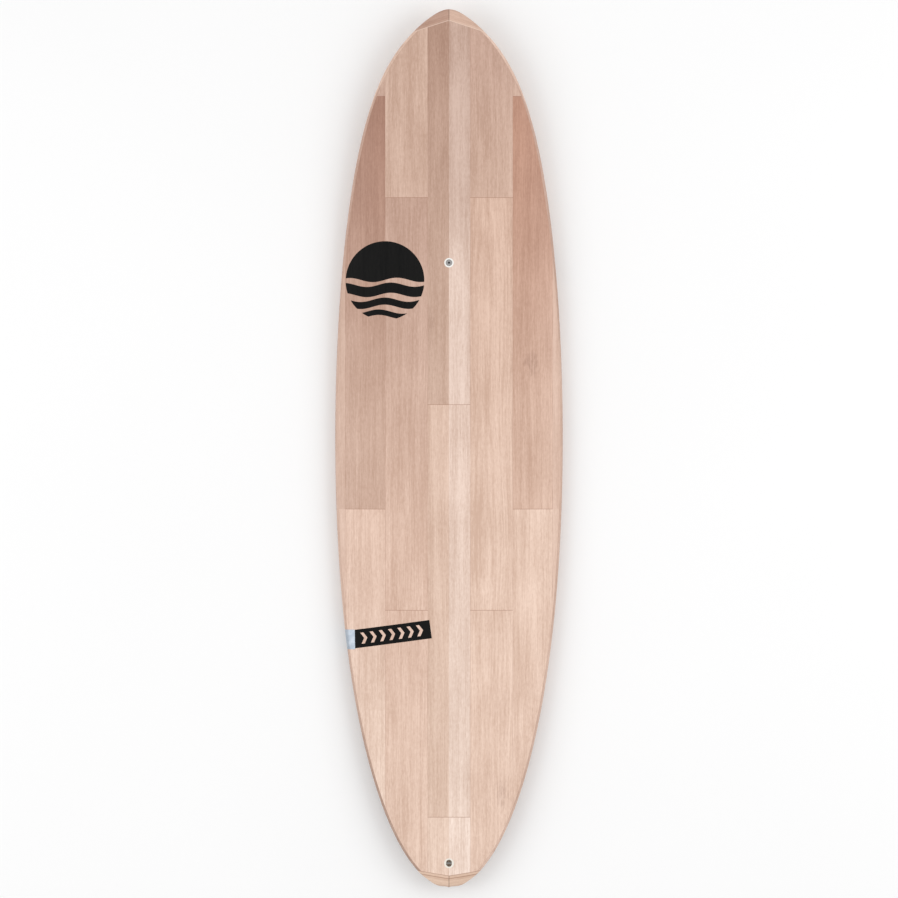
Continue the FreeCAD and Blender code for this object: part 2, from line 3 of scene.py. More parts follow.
import bpy
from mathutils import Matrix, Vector
from mathutils.bvhtree import BVHTree
from mathutils.geometry import delaunay_2d_cdt


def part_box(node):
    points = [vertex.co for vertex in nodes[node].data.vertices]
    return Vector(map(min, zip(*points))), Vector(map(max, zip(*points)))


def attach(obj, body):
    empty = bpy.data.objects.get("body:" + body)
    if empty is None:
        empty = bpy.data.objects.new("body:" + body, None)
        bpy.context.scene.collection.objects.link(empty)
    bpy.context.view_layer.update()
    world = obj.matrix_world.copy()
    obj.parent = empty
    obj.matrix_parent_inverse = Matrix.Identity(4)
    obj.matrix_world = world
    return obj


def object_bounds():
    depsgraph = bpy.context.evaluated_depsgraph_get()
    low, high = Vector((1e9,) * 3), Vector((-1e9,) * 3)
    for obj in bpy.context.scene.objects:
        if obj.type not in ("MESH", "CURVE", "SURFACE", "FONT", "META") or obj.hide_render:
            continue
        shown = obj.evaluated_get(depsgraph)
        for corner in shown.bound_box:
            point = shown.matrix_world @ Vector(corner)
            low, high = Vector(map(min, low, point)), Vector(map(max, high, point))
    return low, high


# The looks of a timber sandwich surfboard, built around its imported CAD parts.
# Materials work in millimetres of the row frame: +Y to the nose, +X right, +Z out of the deck.

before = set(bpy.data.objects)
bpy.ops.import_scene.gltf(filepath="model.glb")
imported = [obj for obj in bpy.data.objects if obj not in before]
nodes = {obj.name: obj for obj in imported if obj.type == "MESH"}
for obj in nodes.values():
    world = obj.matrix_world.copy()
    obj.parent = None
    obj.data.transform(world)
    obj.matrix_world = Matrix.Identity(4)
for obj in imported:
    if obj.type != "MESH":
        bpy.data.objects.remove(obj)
cad_low, cad_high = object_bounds()
scene = bpy.context.scene
MM = 0.001


# ---------------------------------------------------------------- node helpers

class Nodes:
    """Adds nodes to one tree. Each call returns the new node's output socket."""

    def __init__(self, tree):
        self.tree = tree

    def new(self, kind):
        return self.tree.nodes.new("ShaderNode" + kind)

    def put(self, socket, value):
        if isinstance(value, bpy.types.NodeSocket):
            self.tree.links.new(value, socket)
        else:
            socket.default_value = value

    def math(self, operation, first, second=0.0, third=0.0):
        node = self.new("Math")
        node.operation = operation
        for socket, value in zip(node.inputs, (first, second, third)):
            self.put(socket, value)
        return node.outputs[0]

    def add(self, first, second):
        return self.math("ADD", first, second)

    def subtract(self, first, second):
        return self.math("SUBTRACT", first, second)

    def times(self, first, second):
        return self.math("MULTIPLY", first, second)

    def square(self, value):
        return self.math("POWER", value, 2.0)

    def hypotenuse(self, first, second):
        return self.math("POWER", self.add(self.square(first), self.square(second)), 0.5)

    def largest(self, values):
        result = values[0]
        for value in values[1:]:
            result = self.math("MAXIMUM", result, value)
        return result

    def vector(self, x, y, z=0.0):
        node = self.new("CombineXYZ")
        for socket, value in zip(node.inputs, (x, y, z)):
            self.put(socket, value)
        return node.outputs[0]

    def split(self, vector):
        node = self.new("SeparateXYZ")
        self.put(node.inputs[0], vector)
        return node.outputs

    def scaled(self, point, per_x, per_y, per_z=0.0):
        """The point with each coordinate times its own factor."""
        factors = (per_x, per_y, per_z)
        return self.vector(*(self.times(part, factor) for part, factor in zip(point, factors)))

    def noise(self, vector, detail=2.0, roughness=0.5):
        node = self.new("TexNoise")
        self.put(node.inputs["Vector"], vector)
        node.inputs["Scale"].default_value = 1.0
        node.inputs["Detail"].default_value = detail
        node.inputs["Roughness"].default_value = roughness
        return node.outputs["Fac"]

    def ramp(self, value, low, high, to_low=0.0, to_high=1.0):
        """Smooth step of value from low to high."""
        node = self.new("MapRange")
        node.interpolation_type = "SMOOTHSTEP"
        for name, number in (("Value", value), ("From Min", low), ("From Max", high),
                             ("To Min", to_low), ("To Max", to_high)):
            self.put(node.inputs[name], number)
        return node.outputs[0]

    def near(self, value, target, reach):
        """1 where value is at target, falling to 0 at a distance of reach."""
        return self.ramp(self.math("ABSOLUTE", self.subtract(value, target)), 0.0, reach, 1.0, 0.0)

    def mix(self, factor, first, second):
        node = self.new("Mix")
        node.data_type = "RGBA"
        for index, value in ((0, factor), (6, first), (7, second)):
            self.put(node.inputs[index], value)
        return node.outputs[2]

    def tinted(self, colour, shares):
        """The colour with its red, green and blue times the shares."""
        node = self.new("VectorMath")
        node.operation = "MULTIPLY"
        self.put(node.inputs[0], colour)
        self.put(node.inputs[1], shares)
        return node.outputs[0]

    def bump(self, height, distance):
        node = self.new("Bump")
        self.put(node.inputs["Height"], height)
        node.inputs["Distance"].default_value = distance * MM
        return node.outputs[0]

    def position(self):
        """The point's place in the row frame, in millimetres."""
        coordinates = self.new("TexCoord")
        node = self.new("VectorMath")
        node.operation = "SCALE"
        self.put(node.inputs[0], coordinates.outputs["Object"])
        node.inputs["Scale"].default_value = 1 / MM
        return node.outputs[0]


def material(name, build):
    """A procedural material: build(n) returns the inputs of its Principled shader."""
    made = bpy.data.materials.new(name)
    made.use_nodes = True
    made.node_tree.nodes.clear()
    n = Nodes(made.node_tree)
    shader = n.new("BsdfPrincipled")
    output = n.new("OutputMaterial")
    n.tree.links.new(shader.outputs[0], output.inputs[0])
    for key, value in build(n).items():
        n.put(shader.inputs[key], value)
    return made


def tint(red, green, blue):
    """A colour given as the eye sees it, out of 255, turned into the shader's linear values."""
    # The numbers are those of the standard sRGB curve.
    def linear(value):
        share = value / 255
        return share / 12.92 if share <= 0.04045 else ((share + 0.055) / 1.055) ** 2.4
    return (linear(red), linear(green), linear(blue), 1.0)


def shade(colour, red, green, blue):
    return (colour[0] * red, colour[1] * green, colour[2] * blue, 1.0)


# ---------------------------------------------------------------- the wood

# Parts of the figure: width, length, octaves, roughness and weight.
FIGURE_PARTS = {
    "band": (42.0, 1500.0, 1.0, 0.5, 0.8),      # broad soft bands
    "streak": (13.0, 520.0, 2.0, 0.6, 1.1),
    "line": (2.8, 150.0, 2.0, 0.6, 1.1),        # growth lines
    "fibre": (0.8, 20.0, 1.0, 0.5, 1.2),
    "mottle": (4.5, 9.0, 2.0, 0.6, 0.8),        # short flecks across the grain
    "cloud": (80.0, 170.0, 1.0, 0.5, 0.9),      # patches
}
PORE = (0.55, 5.5)          # width and length of an open pore
PORE_LEVELS = (0.62, 0.78)  # noise levels where a pore begins and is full
WANDER = (60.0, 450.0)      # how the grain drifts sideways
WANDER_REACH = 16.0
PITH_LENGTH = 380.0         # how slowly the pith's depth changes
PITH_ROW = 0.3              # the row of noise that the pith's depth follows
RING_SPACING = 7.0
RING_DEPTH = 60.0
RING_WEIGHT = 0.35
CLOTH_PITCH = 1.4           # the glass cloth in the clear coat
# Share of each part in the relief.
LINE_RELIEF = 0.35
FIBRE_RELIEF = 0.25
PORE_RELIEF = 0.3
CLOTH_RELIEF = 0.05


def grain_group():
    """Figure of straight-grained paulownia: 0 is dark and 1 pale. Also its pores and its relief."""
    group = bpy.data.node_groups.new("paulownia_grain", "ShaderNodeTree")
    for name, kind in (("Point", "Vector"), ("Shift", "Vector"), ("Pith", "Float"), ("Arch", "Float")):
        group.interface.new_socket(name, in_out="INPUT", socket_type="NodeSocket" + kind)
    for name in ("Figure", "Pores", "Relief"):
        group.interface.new_socket(name, in_out="OUTPUT", socket_type="NodeSocketFloat")
    n = Nodes(group)
    given = group.nodes.new("NodeGroupInput").outputs
    result = group.nodes.new("NodeGroupOutput").inputs
    place = n.new("VectorMath")
    place.operation = "ADD"
    n.put(place.inputs[0], given["Point"])
    n.put(place.inputs[1], given["Shift"])
    x, y, z = n.split(place.outputs[0])

    def stretched(across, width, length):
        return n.vector(n.times(across, 1 / width), n.times(y, 1 / length), n.times(z, 1 / width))

    drift = n.noise(stretched(x, *WANDER), detail=1.0)
    side = n.add(x, n.times(n.subtract(drift, 0.5), WANDER_REACH))
    figure = 0.5
    parts = {}
    for name, (width, length, octaves, roughness, weight) in FIGURE_PARTS.items():
        parts[name] = n.noise(stretched(side, width, length), octaves, roughness)
        figure = n.add(figure, n.times(n.subtract(parts[name], 0.5), weight))
    pore = n.ramp(n.noise(stretched(side, *PORE), detail=1.0), *PORE_LEVELS)
    # Arches: growth rings round a pith line whose depth under the face changes along the plank.
    sunk = n.noise(n.vector(PITH_ROW, n.times(y, 1 / PITH_LENGTH)), detail=1.0)
    depth = n.times(sunk, RING_DEPTH)
    reach = n.hypotenuse(n.subtract(side, given["Pith"]), depth)
    wave = n.math("SINE", n.times(reach, 2 * math.pi / RING_SPACING))
    ring = n.times(n.add(n.times(wave, 0.5), 0.5), given["Arch"])
    figure = n.subtract(figure, n.times(ring, RING_WEIGHT))
    clamp = n.new("Clamp")
    n.put(clamp.inputs[0], figure)
    n.put(result["Figure"], clamp.outputs[0])
    n.put(result["Pores"], pore)
    weave = n.times(n.math("SINE", n.times(x, 2 * math.pi / CLOTH_PITCH)),
                    n.math("SINE", n.times(y, 2 * math.pi / CLOTH_PITCH)))
    raised = n.add(n.times(parts["line"], LINE_RELIEF), n.times(parts["fibre"], FIBRE_RELIEF))
    relief = n.subtract(raised, n.times(pore, PORE_RELIEF))
    n.put(result["Relief"], n.add(relief, n.times(weave, CLOTH_RELIEF)))
    return group


GRAIN = grain_group()
DARK_SHARE = (0.82, 0.76, 0.72)
PALE_SHARE = (1.12, 1.15, 1.17)
PORE_SHARE = (0.72, 0.63, 0.57)
PORE_STRENGTH = 0.4
RELIEF = 0.05
RELIEF_TOP = 0.6
WOOD_ROUGHNESS = (0.52, 0.40)   # in the relief's hollows and on its tops
COAT_WEIGHT = 0.1
COAT_ROUGHNESS = 0.3


def grain(n, point, shift, pith=0.0, arch=0.0):
    """Figure, pores and relief of the wood at point, shifted so that no two planks match."""
    node = n.new("Group")
    node.node_tree = GRAIN
    for name, value in (("Point", point), ("Shift", shift), ("Pith", pith), ("Arch", arch)):
        n.put(node.inputs[name], value)
    return node.outputs["Figure"], node.outputs["Pores"], node.outputs["Relief"]


def wood_colour(n, figure, pores, along, tone_nose, tone_tail):
    """Tone from the nose end to the tail end, with the grain's dark and pale parts."""
    dark = n.mix(along, shade(tone_nose, *DARK_SHARE), shade(tone_tail, *DARK_SHARE))
    pale = n.mix(along, shade(tone_nose, *PALE_SHARE), shade(tone_tail, *PALE_SHARE))
    open_pore = n.mix(along, shade(tone_nose, *PORE_SHARE), shade(tone_tail, *PORE_SHARE))
    return n.mix(n.times(pores, PORE_STRENGTH), n.mix(figure, dark, pale), open_pore)


def coated(n, colour, relief):
    """Wood under a satin clear coat."""
    return {
        "Base Color": colour,
        "Roughness": n.ramp(relief, 0.0, RELIEF_TOP, *WOOD_ROUGHNESS),
        "Normal": n.bump(relief, RELIEF),
        "Coat Weight": COAT_WEIGHT,
        "Coat Roughness": COAT_ROUGHNESS,
    }


# ---------------------------------------------------------------- planks

# Wood tones as the eye sees them, out of 255.
TONES = {
    "bark": tint(150, 121, 106),
    "walnut": tint(158, 128, 112),
    "rust": tint(168, 126, 107),
    "brick": tint(185, 139, 117),
    "cocoa": tint(176, 145, 128),
    "dove": tint(184, 159, 145),
    "umber": tint(186, 150, 132),
    "ash": tint(193, 167, 154),
    "fawn": tint(195, 161, 144),
    "russet": tint(200, 158, 137),
    "tan": tint(206, 174, 156),
    "sand": tint(214, 181, 162),
    "blush": tint(222, 191, 173),
    "rose": tint(227, 198, 180),
    "cream": tint(233, 207, 190),
    "ivory": tint(238, 211, 194),
}

# Tones at the nose end and the tail end of the nose, middle and tail plank of each column.
PLANK_TONES = {
    "deck": {
        "outer_left": [("tan", "fawn"), ("rust", "tan"), ("blush", "cream")],
        "inner_left": [("tan", "tan"), ("fawn", "blush"), ("blush", "rose")],
        "centre": [("umber", "tan"), ("blush", "rose"), ("ivory", "ivory")],
        "inner_right": [("fawn", "tan"), ("sand", "rose"), ("rose", "rose")],
        "outer_right": [("fawn", "tan"), ("brick", "sand"), ("rose", "rose")],
    },
    "bottom": {
        "outer_left": [("sand", "sand"), ("sand", "fawn"), ("cocoa", "cocoa")],
        "inner_left": [("cream", "blush"), ("sand", "umber"), ("cocoa", "bark")],
        "centre": [("ivory", "sand"), ("sand", "ash"), ("cocoa", "walnut")],
        "inner_right": [("ivory", "cream"), ("sand", "russet"), ("tan", "dove")],
        "outer_right": [("ivory", "ivory"), ("ivory", "blush"), ("tan", "fawn")],
    },
}
ROWS = ("nose", "middle", "tail")
WARMTH = {"deck": (1.0, 0.99, 0.98), "bottom": (1.0, 0.955, 0.92)}  # shares of red, green and blue
# The outer planks end in a narrow strip of another tone.
STRIP_EDGE = {"deck": 252.5, "bottom": 260.0}   # its inner edge, from the centreline
STRIP_TONE = TONES["blush"]
SEAM_TONE = tint(150, 100, 78)
SEAM_REACH = 1.1
GLUE_TONE = tint(236, 212, 194)
# Knots and dark flecks: side, x, y, half width, half length, strength.
KNOTS = [
    ("bottom", 88.0, 309.0, 5.0, 22.0, 0.6),
    ("bottom", -121.0, 316.0, 4.5, 18.0, 0.6),
    ("bottom", -78.0, -698.0, 4.5, 30.0, 0.7),
    ("bottom", 7.0, -342.0, 1.5, 5.0, 0.8),
    ("deck", 204.0, 207.0, 9.0, 24.0, 0.3),
    ("deck", -50.0, 300.0, 8.0, 34.0, 0.15),
    ("deck", 128.0, -840.0, 10.0, 26.0, 0.22),
]
KNOT_TONE = tint(120, 76, 58)
# How strongly the growth rings show as arches, by plank; the rest are nearly straight.
ARCHED = {
    "bottom_plank_outer_right_middle": 0.9,
    "bottom_plank_centre_nose": 0.8,
    "bottom_plank_centre_middle": 0.6,
    "deck_plank_inner_right_middle": 0.6,
    "deck_plank_inner_left_middle": 0.4,
    "deck_plank_inner_right_tail": 0.5,
}
PLAIN_ARCH = 0.12
# The centre column of the deck is paler on its right-hand half, most of all in its nose plank.
PALE_HALF = "deck_plank_centre_nose"
PALE_REACH = (420.0, 620.0)     # along the board, from the strongest to the weakest
PALE_SHARE_RANGE = (0.8, 0.25)
CENTRE_LEFT = (0.955, 0.96, 0.955)
CENTRE_RIGHT = (1.045, 1.12, 1.18)
HALF_BLEND = 0.5                # half width of the line between the two halves
PITH_SWAY = 18.0                # how far the pith line lies from the plank's middle
PLANK_SHIFT = (37.0, 211.0)     # one plank's step through the noise
KNOT_NOISE = (0.09, 0.03)
KNOT_BEND = 5.0
KNOT_REACH = 3.0
KNOT_STREAKS = (0.25, 0.85, 1.0, 0.35)  # figure levels, and how much of the knot shows at each
STRIP_SHARE = 0.65              # how strongly the edge strip differs from its plank
STRIP_SOFTNESS = 0.4
SEAM_NOISE = (0.02, 0.011)      # the side seams come and go along the plank
SEAM_LEVELS = (0.35, 0.65)
END_SEAM_SHARE = 0.75
SIDE_SEAM_SHARE = 0.5


def centre_halves(n, x, colour):
    """Two halves of a plank in slightly different tones."""
    right = n.ramp(x, -HALF_BLEND, HALF_BLEND)
    return n.mix(right, n.tinted(colour, CENTRE_LEFT), n.tinted(colour, CENTRE_RIGHT))


def with_pale_half(n, x, y, wood, colour):
    """Paler wood right of the centreline, less so towards the nose."""
    right = n.ramp(x, -HALF_BLEND, HALF_BLEND)
    fade = n.ramp(y, *PALE_REACH, *PALE_SHARE_RANGE)
    paler = wood_colour(n, *wood, 0.0, TONES["blush"], TONES["blush"])
    return n.mix(n.times(right, fade), colour, paler)


def with_knot(n, x, y, figure, colour, knot):
    """A dark eye, longer along the grain, ragged and streaked by the figure."""
    knot_x, knot_y, width, length, strength = knot
    ragged = n.noise(n.vector(n.times(x, KNOT_NOISE[0]), n.times(y, KNOT_NOISE[1])), detail=3.0)
    bend = n.times(n.subtract(ragged, 0.5), KNOT_BEND)
    across = n.add(n.times(n.subtract(x, knot_x), 1 / width), bend)
    along = n.times(n.subtract(y, knot_y), 1 / length)
    away = n.add(n.square(across), n.square(along))
    streaked = n.ramp(figure, *KNOT_STREAKS)
    mask = n.times(n.times(n.ramp(away, 0.0, KNOT_REACH, 1.0, 0.0), streaked), strength)
    return n.mix(mask, colour, KNOT_TONE)


def plank_material(side, column, row, number):
    name = "%s_plank_%s_%s" % (side, column, ROWS[row])
    low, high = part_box(name)
    low = low / MM
    high = high / MM
    tone_nose, tone_tail = (shade(TONES[tone], *WARMTH[side]) for tone in PLANK_TONES[side][column][row])

    def build(n):
        point = n.position()
        x, y, z = n.split(point)
        pith = (low.x + high.x) / 2 + PITH_SWAY * math.sin(number)
        shift = (PLANK_SHIFT[0] * number, PLANK_SHIFT[1] * number, 0.0)
        arch = ARCHED.get(name, PLAIN_ARCH)
        figure, pores, relief = grain(n, point, shift, pith + shift[0], arch)
        along = n.ramp(y, low.y, high.y, 1.0, 0.0)
        colour = wood_colour(n, figure, pores, along, tone_nose, tone_tail)
        if name == PALE_HALF:
            colour = with_pale_half(n, x, y, (figure, pores), colour)
        if side == "deck" and column == "centre":
            colour = centre_halves(n, x, colour)
        for knot_side, *knot in KNOTS:
            if knot_side == side and low.x < knot[0] < high.x and low.y < knot[1] < high.y:
                colour = with_knot(n, x, y, figure, colour, knot)
        joints = []
        if row > 0:
            joints.append(high.y)
        if row < len(ROWS) - 1:
            joints.append(low.y)
        ends = n.largest([n.near(y, joint, SEAM_REACH) for joint in joints])
        sides = []
        if column != "outer_left":
            sides.append(n.near(x, low.x, SEAM_REACH))
        if column != "outer_right":
            sides.append(n.near(x, high.x, SEAM_REACH))
        if column.startswith("outer"):
            out = n.math("ABSOLUTE", x)
            edge = STRIP_EDGE[side]
            strip = n.ramp(out, edge - STRIP_SOFTNESS, edge + STRIP_SOFTNESS)
            strip_colour = n.mix(figure, shade(STRIP_TONE, *DARK_SHARE), STRIP_TONE)
            colour = n.mix(n.times(strip, STRIP_SHARE), colour, strip_colour)
            ends = n.times(ends, n.subtract(1.0, strip))
            sides.append(n.near(out, edge, SEAM_REACH))
        place = n.vector(n.times(x, SEAM_NOISE[0]), n.times(y, SEAM_NOISE[1]), number)
        patchy = n.ramp(n.noise(place), *SEAM_LEVELS)
        colour = n.mix(n.times(ends, END_SEAM_SHARE), colour, SEAM_TONE)
        beside = n.times(n.times(n.largest(sides), patchy), SIDE_SEAM_SHARE)
        return coated(n, n.mix(beside, colour, SEAM_TONE), relief)

    return name, material(name + "_wood", build)


def dress(node, finish):
    """Gives a CAD node its material."""
    slots = nodes[node].data.materials
    slots.clear()
    slots.append(finish)


number = 0
for side, columns in PLANK_TONES.items():
    for column in columns:
        for row in range(len(ROWS)):
            number += 1
            dress(*plank_material(side, column, row, number))


# ---------------------------------------------------------------- rails and end blocks

# The bottom's rocker line, measured from the tail tip.
FLAT_START = 880.0
FLAT_END = 1100.0
TAIL_ROCKER = (50.0, 1.7)   # rise and power
NOSE_ROCKER = (81.0, 2.2)
# Strips stacked on the rail's side: height of the foot above the rocker line, place of the scarf
# joint, tone on its nose side, tone on its tail side.
RAIL_STRIPS = [
    (0.0, -133.0, "umber", "tan"),
    (6.0, 470.0, "blush", "blush"),
    (24.0, -161.0, "fawn", "tan"),
    (40.0, -640.0, "tan", "fawn"),
    (50.0, -83.0, "rose", "cream"),
]
STRIP_BLEND = 0.5           # half width of the soft line between two strips
SCARF_SLOPE = 0.9
SCARF_SHARE = 0.6           # how dark the line of a scarf joint is
# Painted shade: the low strips darken towards the tail.
RAIL_SHADE_TONE = TONES["walnut"]
RAIL_SHADE = {"left": 0.75, "right": 0.15}
RAIL_SHADE_ALONG = (-800.0, -150.0)
RAIL_SHADE_UP = (20.0, 46.0)
RAIL_SHIFT = {"left": 400.0, "right": 900.0}
OUTER_SHIFT = 70.0


def above_rocker(n, y, z):
    """Height over the bottom's rocker line."""
    from_tail = n.subtract(y, cad_low.y / MM)
    length = (cad_high.y - cad_low.y) / MM
    tail_share = n.math("MAXIMUM", n.times(n.subtract(FLAT_START, from_tail), 1 / FLAT_START), 0.0)
    nose_share = n.math("MAXIMUM", n.times(n.subtract(from_tail, FLAT_END), 1 / (length - FLAT_END)), 0.0)
    tail_rise = n.times(n.math("POWER", tail_share, TAIL_ROCKER[1]), TAIL_ROCKER[0])
    nose_rise = n.times(n.math("POWER", nose_share, NOSE_ROCKER[1]), NOSE_ROCKER[0])
    return n.subtract(n.subtract(z, tail_rise), nose_rise)


def rail_material(name, shade_share, shift):
    """Long strips over each other, with the grain along the board and slanted scarf joints."""
    def build(n):
        point = n.position()
        x, y, z = n.split(point)
        figure, pores, relief = grain(n, point, (shift, 0.0, shift))
        height = above_rocker(n, y, z)
        slanted = n.add(y, n.times(height, SCARF_SLOPE))
        tone = None
        for foot, joint, nose_tone, tail_tone in RAIL_STRIPS:
            behind = n.ramp(slanted, joint - STRIP_BLEND, joint + STRIP_BLEND, 1.0, 0.0)
            strip = n.mix(behind, TONES[nose_tone], TONES[tail_tone])
            scarf = n.times(n.near(slanted, joint, SEAM_REACH), SCARF_SHARE)
            strip = n.mix(scarf, strip, SEAM_TONE)
            above = n.ramp(height, foot - STRIP_BLEND, foot + STRIP_BLEND)
            tone = strip if tone is None else n.mix(above, tone, strip)
        # Painted shade on the low strips, towards the tail.
        low_tail_shade = n.times(n.ramp(y, *RAIL_SHADE_ALONG, shade_share, 0.0), n.ramp(height, *RAIL_SHADE_UP, 1.0, 0.0))
        tone = n.mix(low_tail_shade, tone, RAIL_SHADE_TONE)
        grain_colour = n.mix(figure, n.tinted(tone, DARK_SHARE), n.tinted(tone, PALE_SHARE))
        colour = n.mix(n.times(pores, PORE_STRENGTH), grain_colour, n.tinted(tone, PORE_SHARE))
        return coated(n, colour, relief)
    return material(name, build)


for side, shift in RAIL_SHIFT.items():
    dress("rail_%s_inner" % side, rail_material("rail_%s_inner_wood" % side, RAIL_SHADE[side], shift))
    dress("rail_%s_outer" % side,
          rail_material("rail_%s_outer_wood" % side, RAIL_SHADE[side], shift + OUTER_SHIFT))

LAMINATION = 6.4                # thickness of one strip of an end block
LAMINATION_LINE = 0.5           # half width and share of the line between two strips
LAMINATION_LINE_SHARE = 0.25
GRAIN_WEIGHT = 0.6              # the rest is each strip's own tone
UNDER_RISE = (3.0, 7.0)         # heights over the rocker line where the under tone ends
GLUE_REACH = 1.3
GLUE_SHARE = 0.8
MITRE_LINE = (0.3, 1.1)
MITRE_SHARE = 0.8
MITRE_TONE = tint(96, 66, 52)


def end_block_material(name, end, tone, shift):
    """Laminations parallel to the slanted joint, in another tone under the board."""
    def build(n):
        point = n.position()
        x, y, z = n.split(point)
        out = n.math("ABSOLUTE", x)
        lean = math.radians(end["slope"])
        past = n.times(n.subtract(y, end["joint"]), end["way"])
        depth = n.add(n.times(past, math.cos(lean)), n.times(out, math.sin(lean)))
        length = n.subtract(n.times(out, math.cos(lean)), n.times(past, math.sin(lean)))
        figure, pores, relief = grain(n, n.vector(depth, length, z), (shift, 0.0, 0.0))
        layer = n.new("TexWhiteNoise")
        layer.noise_dimensions = "1D"
        n.put(layer.inputs["W"], n.math("FLOOR", n.times(depth, 1 / LAMINATION)))
        figure = n.add(n.times(figure, GRAIN_WEIGHT), n.times(layer.outputs["Value"], 1 - GRAIN_WEIGHT))
        below = n.ramp(above_rocker(n, y, z), *UNDER_RISE, 1.0, 0.0)
        colour = n.mix(below, wood_colour(n, figure, pores, 0.0, tone, tone),
                       wood_colour(n, figure, pores, 0.0, end["under"], end["under"]))
        between = n.math("PINGPONG", depth, LAMINATION / 2)
        line = n.ramp(between, 0.0, LAMINATION_LINE, LAMINATION_LINE_SHARE, 0.0)
        colour = n.mix(line, colour, SEAM_TONE)
        glued = n.largest([n.near(depth, glue, GLUE_REACH) for glue in end["glue_lines"]])
        colour = n.mix(n.times(glued, GLUE_SHARE), colour, end["glue"])
        mitre = n.ramp(out, *MITRE_LINE, MITRE_SHARE, 0.0)
        colour = n.mix(mitre, colour, MITRE_TONE)
        return coated(n, colour, relief)
    return material(name, build)


TAIL_TONE = tint(219, 189, 167)
# The joint's place on the centreline and its slope in degrees, the way from it to the tip (+1 is
# towards the nose), the tones, and the distances of the glue lines from the joint.
ENDS = {
    "nose": {
        "joint": cad_high.y / MM - 28.5, "slope": 17.4, "way": 1,
        "tones": {"left": TONES["umber"], "right": TONES["sand"]}, "under": TONES["cream"],
        "glue": GLUE_TONE, "glue_lines": [0.6],
    },
    "tail": {
        "joint": cad_low.y / MM + 29.5, "slope": 8.8, "way": -1,
        "tones": {"left": TAIL_TONE, "right": TAIL_TONE}, "under": tint(179, 155, 140),
        "glue": SEAM_TONE, "glue_lines": [0.4, 7.6],
    },
}
END_SHIFT = {"left": 150.0, "right": 600.0}
for side, shift in END_SHIFT.items():
    for place, end in ENDS.items():
        name = "%s_block_%s" % (place, side)
        dress(name, end_block_material(name + "_wood", end, end["tones"][side], shift))


# ---------------------------------------------------------------- fin fittings

OVAL = (22.5, 69.5)             # half width and half length
TOE = {"right": -2.6, "left": 2.6, "centre": 0.0}
INLAY = {"right": tint(194, 161, 137), "left": tint(167, 136, 115), "centre": tint(179, 148, 127)}
INLAY_SHIFT = 50.0
INLAY_SPREAD = 3.0              # the three inlays show different places of the figure
INLAY_LAMINATION = 4.8
INLAY_FIRST_LINE = 1.2
INLAY_LINE = 0.5                # half width and share of the line between two laminations
INLAY_LINE_SHARE = 0.2
INLAY_EDGE = tint(120, 88, 68)
EDGE_LINE = (0.965, 0.99)       # shares of the oval between which the edge line comes up
EDGE_SHARE = 0.5


def inlay_material(pair):
    """An oval block of laminated wood with a thin dark glue line round it."""
    low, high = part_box("fin_block_" + pair)
    middle = (low + high) / 2 / MM
    toe = math.radians(TOE[pair])

    def build(n):
        point = n.position()
        x, y, z = n.split(point)
        dx = n.subtract(x, middle.x)
        dy = n.subtract(y, middle.y)
        across = n.subtract(n.times(dx, math.cos(toe)), n.times(dy, math.sin(toe)))
        along = n.add(n.times(dx, math.sin(toe)), n.times(dy, math.cos(toe)))
        shift = (middle.x * INLAY_SPREAD + INLAY_SHIFT, 0.0, 0.0)
        figure, pores, relief = grain(n, n.vector(across, along, z), shift)
        between = n.math("PINGPONG", n.add(across, INLAY_FIRST_LINE), INLAY_LAMINATION / 2)
        line = n.ramp(between, 0.0, INLAY_LINE, INLAY_LINE_SHARE, 0.0)
        colour = wood_colour(n, figure, pores, 0.0, INLAY[pair], INLAY[pair])
        colour = n.mix(line, colour, INLAY_EDGE)
        reach = n.hypotenuse(n.times(across, 1 / OVAL[0]), n.times(along, 1 / OVAL[1]))
        colour = n.mix(n.ramp(reach, *EDGE_LINE, 0.0, EDGE_SHARE), colour, INLAY_EDGE)
        return coated(n, colour, relief)

    return material("fin_block_%s_wood" % pair, build)


# Noise scales are along x, y and z. Levels are the noise values between which a look comes up.
CLOUD_LEVELS = (0.35, 0.65)
FINE_LEVELS = (0.3, 0.7)
MOULD_CLOUD = (0.15, 0.15, 0.15)
MOULD_FINE = 1 / 0.6
MOULD_SCUFF = (0.9, 0.25, 1.0)
SCUFF_LEVELS = (0.62, 0.72)
SCUFF_ROUGHNESS = 0.12
MOULD_SPREAD = 0.06             # how far the roughness goes up and down
MOULD_RELIEF = 0.02


def moulded(name, dark, pale, roughness):
    """Moulded plastic: faint mottling, a fine spark-eroded texture and small scuffs."""
    def build(n):
        parts = n.split(n.position())
        cloud = n.noise(n.scaled(parts, *MOULD_CLOUD), detail=3.0)
        fine = n.noise(n.scaled(parts, MOULD_FINE, MOULD_FINE, MOULD_FINE))
        scuff = n.ramp(n.noise(n.scaled(parts, *MOULD_SCUFF), detail=3.0), *SCUFF_LEVELS)
        textured = n.ramp(fine, *FINE_LEVELS, roughness - MOULD_SPREAD, roughness + MOULD_SPREAD)
        return {
            "Base Color": n.mix(n.ramp(cloud, *CLOUD_LEVELS), dark, pale),
            "Roughness": n.add(textured, n.times(scuff, SCUFF_ROUGHNESS)),
            "Normal": n.bump(fine, MOULD_RELIEF),
        }
    return material(name, build)


SOCKET_SHADE_TONE = tint(58, 56, 57)
SOCKET_REACH = 3.3
SOCKET_EDGE = 0.2
SOCKET_DEPTH = (0.5, 0.1)       # below the face, where it is full and where it begins
TURNING_MARKS = (4.0, 2.0)      # noise scales outward and along the axis
TARNISH_NOISE = (0.5, 0.5, 1.0)
TARNISH_LEVELS = (0.4, 0.7)
TARNISH_SHARE = 0.5
STEEL_ROUGHNESS = (0.30, 0.48)
STEEL_RELIEF = 0.015


